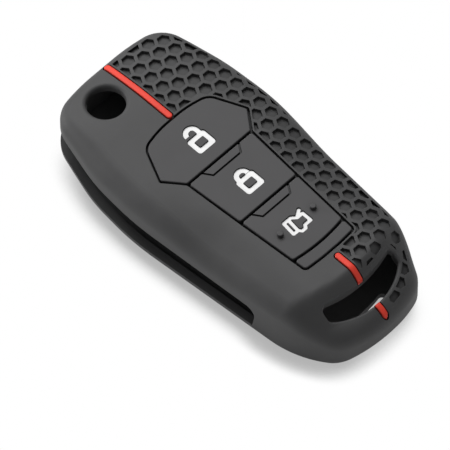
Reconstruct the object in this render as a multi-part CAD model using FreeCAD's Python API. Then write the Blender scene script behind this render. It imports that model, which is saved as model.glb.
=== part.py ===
"""Silicone sleeve cover for a folding car key.

Millimetres. The cover lies on its back on Z = 0, its front face looks along +Z, and +Y points to the end
where the key's blade folds out. X = 0 is the line that halves the front.
The sleeve is one moulding. Three press pads hang in its front wall on a thin web, coloured silicone fills
the lines and the signs, and a honeycomb of ribs covers one half of the front.
"""
import FreeCAD
import Part
import math
import os

V = FreeCAD.Vector
UP = V(0, 0, 1)
FAR = 60.0  # reach of the tools that cut right through
CLEAR = 1.0  # how far a tool stands past the face that it starts from
NEAR = 0.02  # how close to a line an edge lies that belongs to it

# Overall size
LENGTH = 85.5
WIDTH = 41.6
THICKNESS = 17.5
WALL = 2.0
BACK_WALL = 1.6

# Plan outline, right half: how far each corner lies in from the side and from the nearer end, and its radius
HINGE_FLAT = (14.0, 0.0, 45.0)
HINGE_CORNER = (4.6, 1.5, 7.5)
SIDE_HIGH = (0.9, 17.0, 40.0)
SIDE_LOW = (0.0, 30.5, 70.0)
RING_SIDE = (3.5, 12.8, 25.0)
RING_CORNER = (8.75, 2.5, 7.0)
RING_FLAT = (16.3, 0.0, 26.0)

# Front face: how it falls away from the flat middle
FLAT_HALF_HINGE = 13.8
FLAT_HALF_RING = 10.2
FLANK_SLOPE_HINGE = 0.16
FLANK_SLOPE_RING = 0.4
FLANK_BLEND = 2.4
FLANK_RUN = 20.0
HINGE_FALL_START = 16.5
HINGE_FALL = 0.0063
RING_DROP = 5.9
RING_STEP_UP = 1.2  # how far above the ring slot's lower edge the step down to the ring end is done
RING_STEP_RUN = 6.5  # length of the step in the middle
RING_STEP_SPREAD = 7.3  # how much longer the step is at the sides
GRID_ACROSS = 2.7  # spacing of the points that the front face is drawn through
GRID_ALONG = 4.4
GRID_RING = 1.3
SHOULDER = 4.8
SHOULDER_HINGE = 2.5
SHOULDER_RUN = 14.0
BACK_ROUND = 1.8
BACK_RING_RADIUS = 15.0
BACK_RING_RUN = 9.5
BACK_HINGE_RADIUS = 90.0
BACK_HINGE_RUN = 28.0

# Press pads, from the hinge end down, and the groove round each
PANEL_FROM_HINGE_END = 21.2
UNLOCK_HEIGHT = 14.1
LOCK_HEIGHT = 14.65
BOOT_HEIGHT = 14.85
TAIL_HEIGHT = 3.5
PANEL_TOP_FLAT_HALF = 4.05
PANEL_TOP_HALF = 9.4
PANEL_SIDE_HALF = 13.2
PANEL_WAIST_HALF = 9.6
PANEL_TAIL_HALF = 7.3
PANEL_TAIL_FLAT_HALF = 2.55
PANEL_SIDE_UP = 4.6
PANEL_SHOULDER_DOWN = 1.2
PANEL_TOP_ROUND = 25.0
PANEL_SHOULDER_ROUND = 3.5
PANEL_SIDE_ROUND = 0.4
PANEL_WAIST_ROUND = 0.8
PANEL_TAIL_ROUND = 1.0
PANEL_TAIL_ARC = 20.0
BOOT_CROWN = 0.65
TAIL_CROWN = 0.35
PAD_CORNER = 0.6
GROOVE = 0.5
PAD_ROUND = 0.25
WEB = 0.5
WEB_GAP = 0.05
TAB_TOP_HALF = 5.6
TAB_BOTTOM_HALF = 4.1
TAB_HEIGHT = 2.25
TAB_LINE = 0.45
TAB_LINE_DEPTH = 0.6
DOT_RADIUS = 0.7
DOT_HEIGHT = 0.9
DOT_ROUND = 0.2
DOT_SPREAD = 4.9
DOT_FROM_PAD_TOP = 8.15

# Signs on the pads
SIGN_DEPTH = 0.8
SIGN_SUNK = 0.3
SIGN_GAP = 0.1
SIGN_STROKE = 1.15
SIGN_X = 0.2
CAR_STROKE = 0.8
BOW_RADIUS = 1.95
BOW_SHUT_LIFT = 0.1
BOW_OPEN_LIFT = 0.75
UNLOCK_SIGN_FROM_PAD_TOP = 8.5
LOCK_SIGN_FROM_PAD_TOP = 8.9
BOOT_SIGN_FROM_PAD_TOP = 8.2
LOCK_BODY = (4.9, 4.2)
LOCK_BODY_ROUND = 0.7
LOCK_WINDOW_ROUND = 0.25
CAR_FRONT = 2.4
CAR_TAIL = 2.25
CAR_HEIGHT = 3.3
CAR_ROOF = 2.0
CAR_SCREEN = 1.0
CAR_DECK_FALL = 0.9
CAR_LID_RISE = 1.1
CAR_WHEEL = 1.05
CAR_WHEEL_DROP = 0.7
CAR_BARS_APART = 1.3
CAR_BAR_LEAN = 0.4

# Openings
RELEASE_RADIUS = 4.3
RELEASE_X = -6.75
RELEASE_FROM_HINGE_END = 8.1
RELEASE_ROUND = 0.8
BLADE_SLOT_SILL = 0.8
BLADE_SLOT_TOP_RING = 8.5
BLADE_SLOT_TOP_BEND = 9.5
BLADE_SLOT_TOP_HINGE = 12.0
BLADE_SLOT_BEND_FROM_HINGE = 21.0
BLADE_SLOT_BEND_ROUND = 40.0
BLADE_SLOT_END_FROM_RING = 21.6
BLADE_SLOT_END_LEAN = 1.4
BLADE_SLOT_ROUND = 2.5
RING_SLOT_WIDTH = 4.7
RING_SLOT_HALF = 10.4
RING_SLOT_FROM_END = 3.9
RING_SLOT_TOP_RADIUS = 32.0
RING_SLOT_LOW_RADIUS = 16.0
RING_SLOT_BACK_HALF = 7.4
RING_SLOT_BACK_SHIFT = 0.1
RING_SLOT_BACK_RADIUS = 35.0
RING_SLOT_ROUND = 0.5
RING_SLOT_END_ROUND = 0.9

# Coloured line down the middle
LINE_WIDTH = 1.3
LINE_GAP = 0.3
LINE_DEPTH = 0.9
LINE_PROUD = 0.2
LINE_FROM_HINGE_END = 0.9
LINE_FROM_UNLOCK = 0.1
LINE_FROM_TAIL = 1.1
LINE_FROM_RING_END = 0.8

# Honeycomb
CELL_PITCH = 3.45
RIB = 0.62
CELL_DEPTH = 0.8
FIELD_RIM = 1.3
FIELD_BORDER = 0.4
FIELD_CLEAR = 0.1
GRIP_FLOOR = 0.35
CELL_DRAFT = 0.08
CELL_FIRST_X = 4.3
CELL_FIRST_FROM_HINGE = 7.05
CELL_LEAST_AREA = 0.6

HINGE_END = LENGTH / 2
RING_END = -LENGTH / 2
PANEL_TOP = HINGE_END - PANEL_FROM_HINGE_END
UNLOCK_LOW = PANEL_TOP - UNLOCK_HEIGHT
FLANK_START = UNLOCK_LOW + PANEL_SIDE_UP
LOCK_LOW = UNLOCK_LOW - LOCK_HEIGHT
BOOT_LOW = LOCK_LOW - BOOT_HEIGHT
TAIL_LOW = BOOT_LOW - TAIL_HEIGHT
RING_SLOT_LOW = RING_END + RING_SLOT_FROM_END
RING_SLOT_TOP = RING_SLOT_LOW + RING_SLOT_WIDTH
RING_SLOT_MIDDLE = RING_SLOT_LOW + RING_SLOT_WIDTH / 2
RING_STEP_LOW = RING_SLOT_LOW + RING_STEP_UP
RING_STEP_TOP = RING_STEP_LOW + RING_STEP_RUN + RING_STEP_SPREAD
CEILING = THICKNESS - WALL
RING_SLOT_SPLIT = (BACK_WALL + CEILING - RING_DROP) / 2


def smooth(t):
    """The S-shaped step from 0 to 1."""
    t = min(max(t, 0.0), 1.0)
    return t * t * (3 - 2 * t)


def mirrored(points):
    """Points of a right half, listed from the hinge end down, with their mirror images on the left."""
    left = [(-p[0],) + tuple(p[1:]) for p in reversed(points) if p[0] > 0]
    return points + left


def rounded_polygon(corners):
    """A flat face with straight sides, where each corner (x, y, radius) is turned by a tangent arc."""
    count = len(corners)
    starts, arcs = [], []
    for i, (x, y, radius) in enumerate(corners):
        here = V(x, y, 0)
        back = V(*corners[i - 1][:2], 0) - here
        on = V(*corners[(i + 1) % count][:2], 0) - here
        half = back.getAngle(on) / 2
        if radius <= 0:
            starts.append((here, here))
            arcs.append(None)
            continue
        run = radius / math.tan(half)
        first = here + back.normalize() * run
        last = here + on.normalize() * run
        middle = (back + on).normalize() * (radius / math.sin(half) - radius) + here
        starts.append((first, last))
        arcs.append(Part.Arc(first, middle, last).toShape())
    edges = []
    for i in range(count):
        if arcs[i]:
            edges.append(arcs[i])
        a, b = starts[i][1], starts[(i + 1) % count][0]
        if (b - a).Length > 1e-6:
            edges.append(Part.LineSegment(a, b).toShape())
    return Part.Face(Part.Wire(edges))


def rectangle(x0, y0, x1, y1):
    return rounded_polygon([(x0, y0, 0), (x1, y0, 0), (x1, y1, 0), (x0, y1, 0)])


def disc(x, y, radius):
    return Part.Face(Part.Wire(Part.makeCircle(radius, V(x, y, 0))))


def prism(face, low, high):
    """The face pulled up from one height to another."""
    base = face.copy()
    base.translate(UP * low)
    return base.extrude(UP * (high - low))


def grown(face, by):
    """The face with its outline moved out by a distance, or in where the distance is negative."""
    return face.makeOffset2D(by) if by else face


def outline():
    """The plan outline: straight runs turned by tangent arcs, the same on both sides."""
    half = WIDTH / 2
    hinge = [(half - i, HINGE_END - d, r) for i, d, r in (HINGE_FLAT, HINGE_CORNER, SIDE_HIGH, SIDE_LOW)]
    ring = [(half - i, RING_END + d, r) for i, d, r in (RING_SIDE, RING_CORNER, RING_FLAT)]
    return rounded_polygon(mirrored(hinge + ring))


OUTLINE = outline()


def front_fall(x, y):
    """How far the front face lies below its flat middle: it falls in a parabola to the hinge end and in an
    S-shaped step to the ring end, which is steepest in the middle, and slopes down the flanks."""
    low_flank = smooth((FLANK_START - y) / FLANK_RUN)
    flat_half = FLAT_HALF_HINGE + (FLAT_HALF_RING - FLAT_HALF_HINGE) * low_flank
    slope = FLANK_SLOPE_HINGE + (FLANK_SLOPE_RING - FLANK_SLOPE_HINGE) * low_flank
    past = abs(x) - flat_half
    flank = slope * (past + math.hypot(past, FLANK_BLEND)) / 2
    at_hinge = HINGE_FALL * max(0.0, y - (HINGE_END - HINGE_FALL_START)) ** 2
    run = RING_STEP_RUN + RING_STEP_SPREAD * min(1.0, (2 * x / WIDTH) ** 2)
    at_ring = RING_DROP * smooth((RING_STEP_LOW + run - y) / run)
    return flank + at_hinge + at_ring


def spaced(first, last, step):
    """Even values from the first to the last, about a step apart."""
    count = max(1, round((last - first) / step))
    return [first + (last - first) * i / count for i in range(count + 1)]


def front_surface():
    """The front face of the right half: a surface through a grid of points that reaches past the outline. The
    grid is finer at the step to the ring end."""
    xs = spaced(-2 * GRID_ACROSS, WIDTH / 2 + GRID_ACROSS, GRID_ACROSS)
    ys = spaced(RING_END - GRID_RING, RING_STEP_TOP, GRID_RING)
    ys += spaced(RING_STEP_TOP, HINGE_END + GRID_ALONG, GRID_ALONG)[1:]
    surface = Part.BSplineSurface()
    surface.interpolate([[V(x, y, THICKNESS - front_fall(x, y)) for y in ys] for x in xs])
    return surface.toShape()


FRONT = front_surface()


def moved(form, lift):
    """A copy of a form, higher or lower."""
    copy = form.copy()
    copy.translate(UP * lift)
    return copy


def below_back(lift):
    """All the space under the back, which is flat and rises in an arc at each end."""
    space = Part.makeBox(WIDTH * 2, LENGTH * 2, FAR, V(-WIDTH, -LENGTH, -FAR))
    ring_start = RING_END + BACK_RING_RUN
    hinge_start = HINGE_END - BACK_HINGE_RUN
    arcs = ((ring_start, ring_start - LENGTH, BACK_RING_RADIUS), (hinge_start, hinge_start, BACK_HINGE_RADIUS))
    for start, low, radius in arcs:
        block = Part.makeBox(WIDTH * 2, LENGTH, radius, V(-WIDTH, low, 0))
        rocker = Part.makeCylinder(radius, WIDTH * 2, V(-WIDTH, start, radius), V(1, 0, 0))
        space = space.fuse(block.cut(rocker))
    return moved(space, lift)


def upright(edge):
    """True for an edge that climbs a wall."""
    box = edge.BoundBox
    return box.ZLength > 4 * max(box.XLength, box.YLength)


def rim_edge(edge):
    """True for an edge that runs along the outline, not for one up a wall, across the back or on X = 0."""
    box = edge.BoundBox
    across = box.YLength < NEAR and RING_END + NEAR < box.YMin < HINGE_END - SIDE_HIGH[1]
    return box.XMax > NEAR and not upright(edge) and not across


def shoulder_radius(point):
    """The shoulder's radius, which tightens to the hinge end."""
    tighten = smooth((point.y - (HINGE_END - SHOULDER_RUN)) / SHOULDER_RUN)
    return SHOULDER + (SHOULDER_HINGE - SHOULDER) * tighten


def ends_of(edge):
    return [edge.valueAt(edge.FirstParameter), edge.valueAt(edge.LastParameter)]


def turn_of(edge):
    """Positive for an edge that runs anticlockwise round the origin, seen from the front."""
    start, end = ends_of(edge)
    return start.x * end.y - start.y * end.x


def on_front(edge):
    return edge.CenterOfMass.z > (THICKNESS - RING_DROP) / 2


def with_shoulder(block):
    """The half body with its front edge rounded by a radius that changes along the outline."""
    rim = [(n, e) for n, e in enumerate(block.Edges, 1) if rim_edge(e) and on_front(e)]
    radii = []
    for number, edge in rim:
        start, end = [shoulder_radius(p) for p in ends_of(edge)]
        along = turn_of(edge) * turn_of(rim[0][1]) > 0
        radii.append((number, start, end) if along else (number, end, start))
    document = FreeCAD.newDocument("shoulder")
    base = document.addObject("Part::Feature", "base")
    base.Shape = block
    fillet = document.addObject("Part::Fillet", "fillet")
    fillet.Base = base
    fillet.Edges = radii
    document.recompute()
    return fillet.Shape


def body():
    """The outer form: its right half with rounded front and back edges, and the mirror image of that."""
    right = prism(OUTLINE.common(rectangle(0, -LENGTH, WIDTH, LENGTH)).Faces[0], -CLEAR, FAR / 2)
    right = right.cut(FRONT.extrude(UP * FAR)).cut(below_back(0))
    right = with_shoulder(right)
    back_rim = [e for e in right.Edges if rim_edge(e) and not on_front(e)]
    right = right.makeFillet(BACK_ROUND, back_rim)
    return right.fuse(right.mirror(V(), V(1, 0, 0))).removeSplitter()


BODY = body()


def softened(face, radius):
    """The face with its outward corners rounded."""
    return grown(grown(face, -radius), radius)


def crescent(half, top, radius):
    """The ring slot in plan: two arcs that curve the same way, with round ends."""
    low_arc = disc(0, RING_SLOT_LOW + RING_SLOT_LOW_RADIUS, RING_SLOT_LOW_RADIUS)
    top_arc = disc(0, top + radius, radius)
    strip = rectangle(-half, RING_END, half, 0)
    face = low_arc.cut(top_arc).common(strip).Faces[0]
    return softened(face, RING_SLOT_END_ROUND)


SLOT_FRONT = crescent(RING_SLOT_HALF, RING_SLOT_TOP, RING_SLOT_TOP_RADIUS)
SLOT_BACK = crescent(RING_SLOT_BACK_HALF, RING_SLOT_TOP + RING_SLOT_BACK_SHIFT, RING_SLOT_BACK_RADIUS)


def rounded_mouth(shape, face, radius):
    """The shape with the front edge of a through opening rounded."""
    edges = []
    for edge in shape.Edges:
        middle = edge.valueAt((edge.FirstParameter + edge.LastParameter) / 2)
        gap = Part.Vertex(middle.x, middle.y, 0).distToShape(face.OuterWire)[0]
        outer = middle.z > THICKNESS - front_fall(middle.x, middle.y) - WALL / 2
        if gap < NEAR and outer and not upright(edge):
            edges.append(edge)
    return shape.makeFillet(radius, edges)


def slotted():
    """The outer form with the ring slot, whose front edge is rounded."""
    form = BODY.cut(prism(SLOT_FRONT, RING_SLOT_SPLIT, FAR))
    return rounded_mouth(form, SLOT_FRONT, RING_SLOT_ROUND)


SLOTTED = slotted()


def over_front(face, depth):
    """The space over the front face, and the skin of a depth under it, inside a plan outline."""
    return prism(face, BACK_WALL, FAR / 2).cut(moved(BODY, -depth))


def skin(face, depth, proud):
    """The skin of the front face inside a plan outline, as deep as asked and raised a little."""
    return over_front(face, depth).common(moved(SLOTTED, proud)).Solids[0]


def shoulder_fall(x, y):
    """How far the rounded shoulder lies below the front face's own slope, near the outline."""
    radius = shoulder_radius(V(x, y, 0))
    inward = radius - Part.Vertex(x, y, 0).distToShape(OUTLINE.OuterWire)[0]
    slope = front_fall(x * 1.01, y * 1.01) - front_fall(x, y)
    slope = max(0.0, slope / (0.01 * math.hypot(x, y)))
    if inward <= radius * slope / math.hypot(1, slope):
        return 0.0
    return radius * math.hypot(1, slope) - slope * inward - math.sqrt(radius ** 2 - inward ** 2)


def front_height(x, y):
    return THICKNESS - front_fall(x, y) - shoulder_fall(x, y)


def cavity():
    """The room for the key."""
    room = prism(grown(OUTLINE, -WALL), -CLEAR, FAR / 2)
    return room.common(moved(BODY, -WALL)).cut(below_back(BACK_WALL))


def blade_slot():
    """The slot that the blade swings through, along the left side and round into the hinge end, to under the
    release hole. Its upper lip climbs to the hinge end and its sill follows the back."""
    low = RING_END + BLADE_SLOT_END_FROM_RING
    side = rounded_polygon([
        (low + BLADE_SLOT_END_LEAN, 0, 0),
        (HINGE_END, 0, 0),
        (HINGE_END, BLADE_SLOT_TOP_HINGE, 0),
        (HINGE_END - BLADE_SLOT_BEND_FROM_HINGE, BLADE_SLOT_TOP_BEND, BLADE_SLOT_BEND_ROUND),
        (low, BLADE_SLOT_TOP_RING, BLADE_SLOT_ROUND),
    ])
    side.rotate(V(), V(1, 0, 0), 90)
    side.rotate(V(), UP, 90)
    side.translate(V(-FAR, 0, 0))
    slot = side.extrude(V(FAR + RELEASE_X, 0, 0))
    return slot.cut(below_back(BACK_WALL + BLADE_SLOT_SILL))


def panel():
    """The outline along the middle of the groove round all the pads."""
    return rounded_polygon(mirrored([
        (PANEL_TOP_FLAT_HALF, PANEL_TOP, PANEL_TOP_ROUND),
        (PANEL_TOP_HALF, PANEL_TOP - PANEL_SHOULDER_DOWN, PANEL_SHOULDER_ROUND),
        (PANEL_SIDE_HALF, UNLOCK_LOW + PANEL_SIDE_UP, PANEL_SIDE_ROUND),
        (PANEL_WAIST_HALF, UNLOCK_LOW, PANEL_WAIST_ROUND),
        (PANEL_TAIL_HALF, TAIL_LOW + TAIL_CROWN, PANEL_TAIL_ROUND),
        (PANEL_TAIL_FLAT_HALF, TAIL_LOW, PANEL_TAIL_ARC),
    ]))


PANEL = panel()


def pad_faces():
    """Plan faces of the three pads and the tail, split by two straight grooves and an arc."""
    inside = grown(PANEL, -GROOVE / 2)
    half = GROOVE / 2
    arc_radius = (PANEL_TAIL_HALF ** 2 + BOOT_CROWN ** 2) / (2 * BOOT_CROWN)
    arc_centre = BOOT_LOW - BOOT_CROWN / 2 + arc_radius
    unlock = inside.common(rectangle(-WIDTH, UNLOCK_LOW + half, WIDTH, HINGE_END))
    lock = inside.common(rectangle(-WIDTH, LOCK_LOW + half, WIDTH, UNLOCK_LOW - half))
    rest = inside.common(rectangle(-WIDTH, RING_END, WIDTH, LOCK_LOW - half))
    boot = rest.common(disc(0, arc_centre, arc_radius - half))
    tail = rest.cut(disc(0, arc_centre, arc_radius + half))
    return [softened(f.Faces[0], PAD_CORNER) for f in (unlock, lock, boot, tail)]


UNLOCK_FACE, LOCK_FACE, BOOT_FACE, TAIL_FACE = pad_faces()


def plain_pad(face):
    """A pad as thick as the front wall, with its upper edge rounded."""
    pad = prism(face, CEILING, THICKNESS)
    edges = [e for e in pad.Edges if e.BoundBox.ZMin > THICKNESS - PAD_ROUND]
    return pad.makeFillet(PAD_ROUND, edges)


def tab_line(top):
    """The engraved line round the finger tab at a pad's upper edge."""
    lean = (TAB_TOP_HALF - TAB_BOTTOM_HALF) / TAB_HEIGHT
    tab = rounded_polygon([
        (TAB_TOP_HALF + lean * CLEAR, top + CLEAR, 0),
        (TAB_BOTTOM_HALF, top - TAB_HEIGHT, 0),
        (-TAB_BOTTOM_HALF, top - TAB_HEIGHT, 0),
        (-TAB_TOP_HALF - lean * CLEAR, top + CLEAR, 0),
    ])
    band = grown(tab, TAB_LINE / 2).cut(grown(tab, -TAB_LINE / 2))
    return prism(band, THICKNESS - TAB_LINE_DEPTH, THICKNESS + CLEAR)


def dot(x, y):
    """A raised dot that the thumb can feel."""
    base = Part.makeCylinder(DOT_RADIUS, 2 * DOT_HEIGHT, V(x, y, THICKNESS - DOT_HEIGHT))
    return base.makeFillet(DOT_ROUND, [e for e in base.Edges if e.BoundBox.ZMin > THICKNESS])


def capsule(ax, ay, bx, by, width):
    """A straight stroke with round ends."""
    along = V(bx - ax, by - ay, 0).normalize() * (width / 2)
    side = V(-along.y, along.x, 0)
    a, b = V(ax, ay, 0) - along, V(bx, by, 0) + along
    corners = [a - side, b - side, b + side, a + side]
    return rounded_polygon([(c.x, c.y, width / 2) for c in corners])


def joined(faces):
    return faces[0].fuse(faces[1:]).removeSplitter().Faces[0]


def block_face(x, y, width, height, radius):
    """A rectangle round a centre, with round corners."""
    w, h = width / 2, height / 2
    corners = [(x - w, y - h), (x + w, y - h), (x + w, y + h), (x - w, y + h)]
    return rounded_polygon([corner + (radius,) for corner in corners])


def padlock_sign(y, shut, grow):
    """A padlock round a height y: a frame with a window, and a bow that is shut or swung open."""
    width, height = LOCK_BODY
    rim = 2 * (SIGN_STROKE + grow)
    frame = block_face(SIGN_X, y, width + 2 * grow, height + 2 * grow, LOCK_BODY_ROUND)
    frame = frame.cut(block_face(SIGN_X, y, width - rim, height - rim, LOCK_WINDOW_ROUND))
    top = y + height / 2
    lift = BOW_SHUT_LIFT if shut else BOW_OPEN_LIFT
    inner = disc(SIGN_X, top + lift, BOW_RADIUS - SIGN_STROKE - grow)
    bow = disc(SIGN_X, top + lift, BOW_RADIUS + grow).cut(inner)
    bow = bow.common(rectangle(-WIDTH, top + lift - grow, WIDTH, HINGE_END)).Faces[0]
    leg_left = SIGN_X - BOW_RADIUS if shut else SIGN_X + BOW_RADIUS - SIGN_STROKE
    leg = rectangle(leg_left - grow, top - SIGN_STROKE / 2, SIGN_X + BOW_RADIUS + grow, top + lift)
    return joined([frame.Faces[0], bow, leg.cut(inner).Faces[0]])


def boot_sign(y, grow):
    """A car seen from its side with the boot lid up, and two slanting bars across its door."""
    width = CAR_STROKE + 2 * grow
    roof = y + CAR_HEIGHT / 2
    sill = y - CAR_HEIGHT / 2
    deck = roof - CAR_DECK_FALL
    front, tail = SIGN_X - CAR_FRONT, SIGN_X + CAR_TAIL
    lid_foot = front + CAR_ROOF + CAR_SCREEN
    wheel = lid_foot - CAR_WHEEL
    path = [
        (front, roof), (front + CAR_ROOF, roof), (lid_foot, deck), (tail, deck), (tail, sill),
        (wheel + CAR_WHEEL, sill), (wheel + CAR_WHEEL / 2, sill - CAR_WHEEL_DROP),
        (wheel - CAR_WHEEL / 2, sill - CAR_WHEEL_DROP), (wheel - CAR_WHEEL, sill), (front, sill),
    ]
    strokes = [capsule(*a, *b, width) for a, b in zip(path, path[1:])]
    strokes.append(capsule(lid_foot, deck, tail, deck + CAR_LID_RISE, width))
    for foot in (front - CAR_BAR_LEAN, front - CAR_BAR_LEAN + CAR_BARS_APART):
        strokes.append(capsule(foot, sill, foot + CAR_BAR_LEAN, roof, width))
    return joined(strokes)


UNLOCK_SIGN_Y = PANEL_TOP - UNLOCK_SIGN_FROM_PAD_TOP
LOCK_SIGN_Y = UNLOCK_LOW - LOCK_SIGN_FROM_PAD_TOP
BOOT_SIGN_Y = LOCK_LOW - BOOT_SIGN_FROM_PAD_TOP


def sign_face(which, grow):
    if which == "unlock":
        return padlock_sign(UNLOCK_SIGN_Y, False, grow)
    if which == "lock":
        return padlock_sign(LOCK_SIGN_Y, True, grow)
    return boot_sign(BOOT_SIGN_Y, grow)


def sign(which):
    """The coloured silicone of a sign."""
    return prism(sign_face(which, 0), THICKNESS - SIGN_DEPTH, THICKNESS - SIGN_SUNK)


def sign_seat(which):
    """The recess of a sign in its pad."""
    return prism(sign_face(which, SIGN_GAP), THICKNESS - SIGN_DEPTH, THICKNESS + CLEAR)


def unlock_pad():
    return plain_pad(UNLOCK_FACE).cut(sign_seat("unlock"))


def lock_pad():
    pad = plain_pad(LOCK_FACE).cut(tab_line(UNLOCK_LOW))
    return pad.cut(sign_seat("lock"))


def boot_pad():
    pad = plain_pad(BOOT_FACE).cut(tab_line(LOCK_LOW))
    y = LOCK_LOW - DOT_FROM_PAD_TOP
    return pad.cut(sign_seat("boot")).fuse([dot(-DOT_SPREAD, y), dot(DOT_SPREAD, y)])


def tail_panel():
    return plain_pad(TAIL_FACE)


def hinge_web():
    """The thin web at the bottom of the grooves, which the pads hang on."""
    pads = [grown(face, WEB_GAP) for face in (UNLOCK_FACE, LOCK_FACE, BOOT_FACE)]
    return prism(grown(PANEL, GROOVE / 2).cut(pads + [TAIL_FACE]), CEILING, CEILING + WEB)


LINE_ENDS = {
    "red_line_upper": (PANEL_TOP + GROOVE / 2 + LINE_FROM_UNLOCK, HINGE_END - LINE_FROM_HINGE_END),
    "red_line_lower": (RING_SLOT_MIDDLE, TAIL_LOW - GROOVE / 2 - LINE_FROM_TAIL),
    "red_line_tip": (RING_END + LINE_FROM_RING_END, RING_SLOT_MIDDLE),
}


def line_face(name, grow):
    low, high = LINE_ENDS[name]
    half = LINE_WIDTH / 2
    return capsule(0, low + half, 0, high - half, LINE_WIDTH + 2 * grow)


def red_line(name):
    """A strip of coloured silicone that follows the front face, a little proud of it."""
    return skin(line_face(name, 0), LINE_DEPTH, LINE_PROUD)


def line_seat(name):
    return over_front(line_face(name, LINE_GAP), LINE_DEPTH)


def field_face():
    """Plan of the honeycomb: the right half of the front, up to the line, the pads and the ring slot."""
    inside = grown(OUTLINE, -FIELD_RIM)
    field = inside.common(rectangle(LINE_WIDTH / 2 + LINE_GAP, RING_END, WIDTH, HINGE_END))
    field = field.cut(grown(PANEL, GROOVE / 2))
    field = field.cut(grown(SLOT_FRONT, RING_SLOT_ROUND + FIELD_CLEAR))
    return max(field.Faces, key=lambda f: f.Area)


FIELD = field_face()


def cell(x, y):
    """One hexagonal pocket, square to the front face at a point, a little narrower at its floor. It is less
    deep where the face is steep, so that it keeps its floor."""
    step = RIB / 2
    fall_x = (front_height(x - step, y) - front_height(x + step, y)) / RIB
    fall_y = (front_height(x, y - step) - front_height(x, y + step)) / RIB
    radius = (CELL_PITCH - RIB) / math.sqrt(3)
    rings = []
    for depth in (-CLEAR, CELL_DEPTH / math.hypot(1, fall_x, fall_y)):
        rings.append(hexagon(radius - CELL_DRAFT * (depth + CLEAR), -depth))
    pocket = Part.makeLoft(rings, True, True)
    turn = FreeCAD.Rotation(UP, V(fall_x, fall_y, 1))
    pocket.Placement = FreeCAD.Placement(V(x, y, front_height(x, y)), turn)
    return pocket


def hexagon(radius, height):
    """A hexagon round the origin with two corners on X."""
    angles = [n * math.pi / 3 for n in range(7)]
    return Part.makePolygon([V(radius * math.cos(a), radius * math.sin(a), height) for a in angles])


def cells():
    """All the pockets: whole ones in the field, and at its border the parts that are big enough to mould."""
    region = max(grown(FIELD, -FIELD_BORDER).Faces, key=lambda f: f.Area)
    cutter = prism(region, 0, FAR / 2)
    radius = (CELL_PITCH - RIB) / math.sqrt(3)
    column_step = CELL_PITCH * math.sqrt(3) / 2
    rows = int(LENGTH / CELL_PITCH) + 2
    found = []
    for column in range(-1, int(WIDTH / 2 / column_step) + 1):
        x = CELL_FIRST_X + column * column_step
        for row in range(-2, rows):
            y = HINGE_END - CELL_FIRST_FROM_HINGE - (row + 0.5 * (column % 2)) * CELL_PITCH
            plan = Part.Face(hexagon(radius, 0))
            plan.translate(V(x, y, 0))
            area = plan.common(region).Area
            if area > plan.Area - 1e-3:
                found.append(cell(x, y))
            elif area > CELL_LEAST_AREA:
                found.extend(cell(x, y).common(cutter).Solids)
    return found


def honeycomb_grip():
    """The skin with the honeycomb of ribs."""
    return skin(FIELD, CELL_DEPTH + GRIP_FLOOR, 0).cut(cells()).Solids[0]


def sleeve():
    """The one-piece sleeve with every opening and seat."""
    middle = THICKNESS / 2
    release_y = HINGE_END - RELEASE_FROM_HINGE_END
    release = Part.makeCylinder(RELEASE_RADIUS, FAR, V(RELEASE_X, release_y, middle))
    slot_back = prism(SLOT_BACK, -FAR, RING_SLOT_SPLIT)
    shell = SLOTTED.cut(cavity()).cut([blade_slot(), slot_back, release])
    shell = rounded_mouth(shell, disc(RELEASE_X, release_y, RELEASE_RADIUS), RELEASE_ROUND)
    opening = prism(grown(PANEL, GROOVE / 2), middle, FAR)
    seats = [line_seat(name) for name in LINE_ENDS]
    seats.append(over_front(FIELD, CELL_DEPTH + GRIP_FLOOR))
    return shell.cut([opening] + seats).Solids[0]


def main():
    os.makedirs("parts", exist_ok=True)
    nodes = {
        "sleeve": sleeve(),
        "honeycomb_grip": honeycomb_grip(),
        "hinge_web": hinge_web(),
        "unlock_pad": unlock_pad(),
        "lock_pad": lock_pad(),
        "boot_pad": boot_pad(),
        "tail_panel": tail_panel(),
        "unlock_icon": sign("unlock"),
        "lock_icon": sign("lock"),
        "boot_icon": sign("boot"),
    }
    for name in LINE_ENDS:
        nodes[name] = red_line(name)
    for name, shape in nodes.items():
        shape.exportStep("parts/" + name + ".step")


if __name__ == "__main__":
    main()
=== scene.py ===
import math

import bpy
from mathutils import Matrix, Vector

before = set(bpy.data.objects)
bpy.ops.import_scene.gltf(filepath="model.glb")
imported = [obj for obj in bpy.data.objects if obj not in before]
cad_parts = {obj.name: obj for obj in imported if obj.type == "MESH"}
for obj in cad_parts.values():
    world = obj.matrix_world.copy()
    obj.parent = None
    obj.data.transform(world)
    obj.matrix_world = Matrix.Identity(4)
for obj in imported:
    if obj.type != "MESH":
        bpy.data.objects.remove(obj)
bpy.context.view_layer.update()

MM = 0.001

# Camera: where the photograph was taken from, and where the cover lies in its frame
IMAGE_SIDE = 450
CAMERA_AZIMUTH = -45.2
CAMERA_ELEVATION = 57.2
CAMERA_DISTANCE = 2.0
PIXELS_PER_MM = 4.727
COVER_MIDDLE_PIXEL = (244.7, 200.2)
COVER_MIDDLE = Vector((0.0, 0.0, 9.0 * MM))

# Silicone: lumps to the metre in its cloudy tint and in its sand grain, and how far the painted shade in a recess
# reaches
CLOUD_LUMPS = 110.0
CLOUD_RANGE = (0.3, 0.7)
CLOUD_GLOSS = 0.08
SAND_GRAINS = 5200.0
SAND_HEIGHT = 0.02 * MM
PAINTED_SHADE_REACH = 1.8 * MM
SKY_SAMPLES = 12
EDGE_SAMPLES = 6
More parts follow.
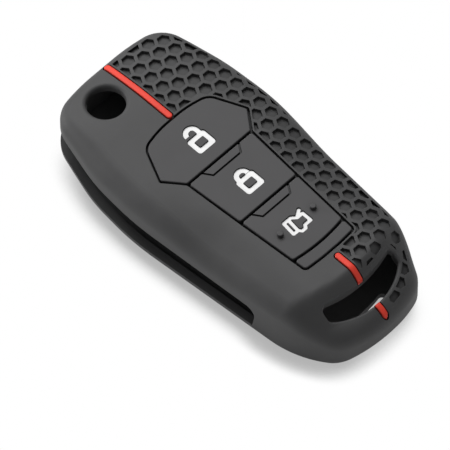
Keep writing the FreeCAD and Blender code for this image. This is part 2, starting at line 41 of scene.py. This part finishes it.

# Floor: a hair under the cover, with a painted shadow where the cover stands close by on the side that the light
# comes from
FLOOR_HALF = 6.0
FLOOR_HEIGHT = -0.05 * MM
FLOOR_COLOUR = (0.9, 0.9, 0.9, 1.0)
SHADOW_REACH = 5.5 * MM
SHADOW_SKY = (0.76, 0.24, 0.60)
SHADOW_RANGE = (0.40, 0.90)
SHADOW_TONE = 0.45

# Light: the room, and each soft box's place, side and power
ROOM_STRENGTH = 0.35
HIGH_BOX = ((0.22, 0.55, 0.80), 0.75, 9.0)
LOW_BOX = ((-0.50, 0.80, 0.16), 0.3, 4.0)


class Socket:
    """A shader value. Arithmetic on it adds Math nodes to its material."""

    def __init__(self, paint, output):
        self.paint = paint
        self.output = output

    def math(self, operation, *values):
        return self.paint.node("ShaderNodeMath", {"operation": operation}, dict(enumerate(values)))

    def __add__(self, other):
        return self.math("ADD", self, other)

    def __mul__(self, other):
        return self.math("MULTIPLY", self, other)

    def __sub__(self, other):
        return self.math("SUBTRACT", self, other)

    def __rsub__(self, other):
        return self.math("SUBTRACT", other, self)

    __radd__ = __add__
    __rmul__ = __mul__


class Paint:
    """The nodes of a material, or of the room's light, under construction."""

    def __init__(self, owner):
        self.owner = owner
        owner.use_nodes = True
        self.tree = owner.node_tree
        self.tree.nodes.clear()

    def node(self, kind, settings=None, sockets=None, output=0):
        """Adds a node, sets it up, and gives or links its sockets. Returns one of its outputs."""
        made = self.tree.nodes.new(kind)
        for key, value in (settings or {}).items():
            if key == "stops":
                for stop, (place, colour) in zip(made.color_ramp.elements, value):
                    stop.position = place
                    stop.color = colour
            else:
                setattr(made, key, value)
        for key, value in (sockets or {}).items():
            if isinstance(value, Socket):
                self.tree.links.new(value.output, made.inputs[key])
            else:
                made.inputs[key].default_value = value
        return None if output is None else Socket(self, made.outputs[output])

    def finish(self, shader, kind="ShaderNodeOutputMaterial"):
        """Links the shader to the output, and returns what was painted."""
        self.node(kind, None, {"Surface": shader}, None)
        return self.owner


def noise(paint, place, scale, detail):
    """Cloud noise from 0 to 1, with a given number of lumps to the metre."""
    return paint.node("ShaderNodeTexNoise", None, {"Vector": place, "Scale": scale, "Detail": detail})


def open_sky(paint, reach, facing=None):
    """How free a point is of what stands near it, from 0 in a narrow groove to 1 in the open. It looks along the
    surface's normal, or to one side. It sets the painted shade in recesses and the painted shadow on the floor."""
    sockets = {"Distance": reach}
    if facing:
        sockets["Normal"] = paint.node("ShaderNodeCombineXYZ", None, dict(enumerate(facing)))
    return paint.node("ShaderNodeAmbientOcclusion", {"samples": SKY_SAMPLES}, sockets, "AO")


def silicone(name, colour, mottle, painted_recess_shade, roughness, gloss, grain, edge_radius):
    """Matte moulded silicone: a fine sand grain from the mould, faint cloudy patches in colour and gloss, painted
    shade that darkens its recesses against the open face, and edges that are a little round."""
    paint = Paint(bpy.data.materials.new(name))
    place = paint.node("ShaderNodeTexCoord", output="Object")
    cloud = noise(paint, place, CLOUD_LUMPS, 3.0)
    sand = noise(paint, place, SAND_GRAINS, 1.0)
    dark = tuple((1.0 - mottle) * c for c in colour) + (1.0,)
    pale = tuple((1.0 + mottle) * c for c in colour) + (1.0,)
    stops = list(zip(CLOUD_RANGE, (dark, pale)))
    tint = paint.node("ShaderNodeValToRGB", {"stops": stops}, {"Fac": cloud})
    # Painted shade: the tint is darkened in recesses and grooves by how closed in each point is
    tint = paint.node("ShaderNodeVectorMath", {"operation": "SCALE"}, {
        0: tint, "Scale": painted_recess_shade + (1.0 - painted_recess_shade) * open_sky(paint, PAINTED_SHADE_REACH),
    })
    edge = paint.node("ShaderNodeBevel", {"samples": EDGE_SAMPLES}, {"Radius": edge_radius})
    bump = paint.node("ShaderNodeBump", None, {
        "Height": sand, "Strength": grain, "Distance": SAND_HEIGHT, "Normal": edge,
    })
    shader = paint.node("ShaderNodeBsdfPrincipled", None, {
        "Base Color": tint,
        "Roughness": roughness + CLOUD_GLOSS * (cloud - 0.5),
        "Normal": bump,
        "Specular IOR Level": gloss,
    })
    return paint.finish(shader)


def dress():
    """Gives every CAD node its finish."""
    black = silicone("black_silicone", (0.052, 0.052, 0.053), mottle=0.11, painted_recess_shade=0.3,
                     roughness=0.62, gloss=0.4, grain=0.5, edge_radius=0.12 * MM)
    pad = silicone("pad_silicone", (0.051, 0.050, 0.052), mottle=0.11, painted_recess_shade=0.3,
                   roughness=0.6, gloss=0.4, grain=0.4, edge_radius=0.12 * MM)
    red = silicone("red_silicone", (0.79, 0.060, 0.037), mottle=0.06, painted_recess_shade=0.5,
                   roughness=0.48, gloss=0.2, grain=0.2, edge_radius=0.6 * MM)
    white = silicone("white_silicone", (0.96, 0.96, 0.96), mottle=0.03, painted_recess_shade=0.9,
                     roughness=0.5, gloss=0.4, grain=0.2, edge_radius=0.08 * MM)
    finishes = {"sleeve": black, "honeycomb_grip": black, "hinge_web": black}
    for node in ("unlock_pad", "lock_pad", "boot_pad", "tail_panel"):
        finishes[node] = pad
    for node in ("unlock_icon", "lock_icon", "boot_icon"):
        finishes[node] = white
    for node in ("red_line_upper", "red_line_lower", "red_line_tip"):
        finishes[node] = red
    for name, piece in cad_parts.items():
        piece.data.materials.clear()
        piece.data.materials.append(finishes[name])


def floor():
    """A plain pale floor under the cover. It lights the cover as a plain surface does, and shows as white with a
    painted soft shadow close to the cover."""
    corners = [(x * FLOOR_HALF, y * FLOOR_HALF, FLOOR_HEIGHT) for x, y in ((-1, -1), (1, -1), (1, 1), (-1, 1))]
    mesh = bpy.data.meshes.new("floor")
    mesh.from_pydata(corners, [], [(0, 1, 2, 3)])
    piece = bpy.data.objects.new("floor", mesh)
    bpy.context.scene.collection.objects.link(piece)
    paint = Paint(bpy.data.materials.new("floor_white"))
    lit = paint.node("ShaderNodeBsdfDiffuse", None, {"Color": FLOOR_COLOUR})
    glow = paint.node("ShaderNodeEmission", None, {"Strength": 1.0})
    seen = paint.node("ShaderNodeLightPath", output="Is Camera Ray")
    for ray in ("Is Glossy Ray", "Is Transmission Ray"):
        seen = seen.math("MAXIMUM", seen, paint.node("ShaderNodeLightPath", output=ray))
    # Painted shadow: the camera sees the floor's glow dimmed to SHADOW_TONE where the cover stands close on the
    # light's side, not a shadow cast by the lamps
    clear = paint.node("ShaderNodeMapRange", {"interpolation_type": "SMOOTHSTEP"}, {
        "Value": open_sky(paint, SHADOW_REACH, SHADOW_SKY),
        "From Min": SHADOW_RANGE[0], "From Max": SHADOW_RANGE[1],
    })
    shade = paint.node("ShaderNodeEmission", None, {"Strength": SHADOW_TONE})
    shown = paint.node("ShaderNodeMixShader", None, {0: clear, 1: shade, 2: glow})
    mixed = paint.node("ShaderNodeMixShader", None, {0: seen, 1: lit, 2: shown})
    mesh.materials.append(paint.finish(mixed))


def view_axes():
    """The camera's right, up and back directions, from its azimuth and elevation."""
    a, e = math.radians(CAMERA_AZIMUTH), math.radians(CAMERA_ELEVATION)
    back = Vector((math.sin(a) * math.cos(e), -math.cos(a) * math.cos(e), math.sin(e)))
    right = Vector((math.cos(a), math.sin(a), 0.0))
    return right, back.cross(right), back


def camera():
    """The camera at the photograph's angle, with a long lens."""
    right, up, back = view_axes()
    made = bpy.data.cameras.new("camera")
    made.lens = PIXELS_PER_MM / MM * CAMERA_DISTANCE * made.sensor_width / IMAGE_SIDE
    made.clip_end = 10 * CAMERA_DISTANCE
    piece = bpy.data.objects.new("camera", made)
    aside = (IMAGE_SIDE / 2 - COVER_MIDDLE_PIXEL[0]) / PIXELS_PER_MM * MM
    below = (COVER_MIDDLE_PIXEL[1] - IMAGE_SIDE / 2) / PIXELS_PER_MM * MM
    piece.location = COVER_MIDDLE + right * aside + up * below + back * CAMERA_DISTANCE
    piece.rotation_mode = "QUATERNION"
    piece.rotation_quaternion = (-back).to_track_quat("-Z", "Y")
    bpy.context.scene.collection.objects.link(piece)
    bpy.context.scene.camera = piece


def lamp(name, place, size, power):
    """A square soft box that looks at the cover."""
    made = bpy.data.lights.new(name, "AREA")
    made.shape = "SQUARE"
    made.size = size
    made.energy = power
    piece = bpy.data.objects.new(name, made)
    piece.location = place
    piece.rotation_mode = "QUATERNION"
    piece.rotation_quaternion = (COVER_MIDDLE - Vector(place)).to_track_quat("-Z", "Y")
    bpy.context.scene.collection.objects.link(piece)


def light():
    """Soft studio light: a pale room, a large box high behind the cover and a low one beside its hinge end."""
    scene = bpy.context.scene
    scene.world = bpy.data.worlds.new("room")
    paint = Paint(scene.world)
    paint.finish(paint.node("ShaderNodeBackground", None, {"Strength": ROOM_STRENGTH}), "ShaderNodeOutputWorld")
    lamp("high_box", *HIGH_BOX)
    lamp("low_box", *LOW_BOX)
    scene.view_settings.view_transform = "Standard"


dress()
floor()
camera()
light()
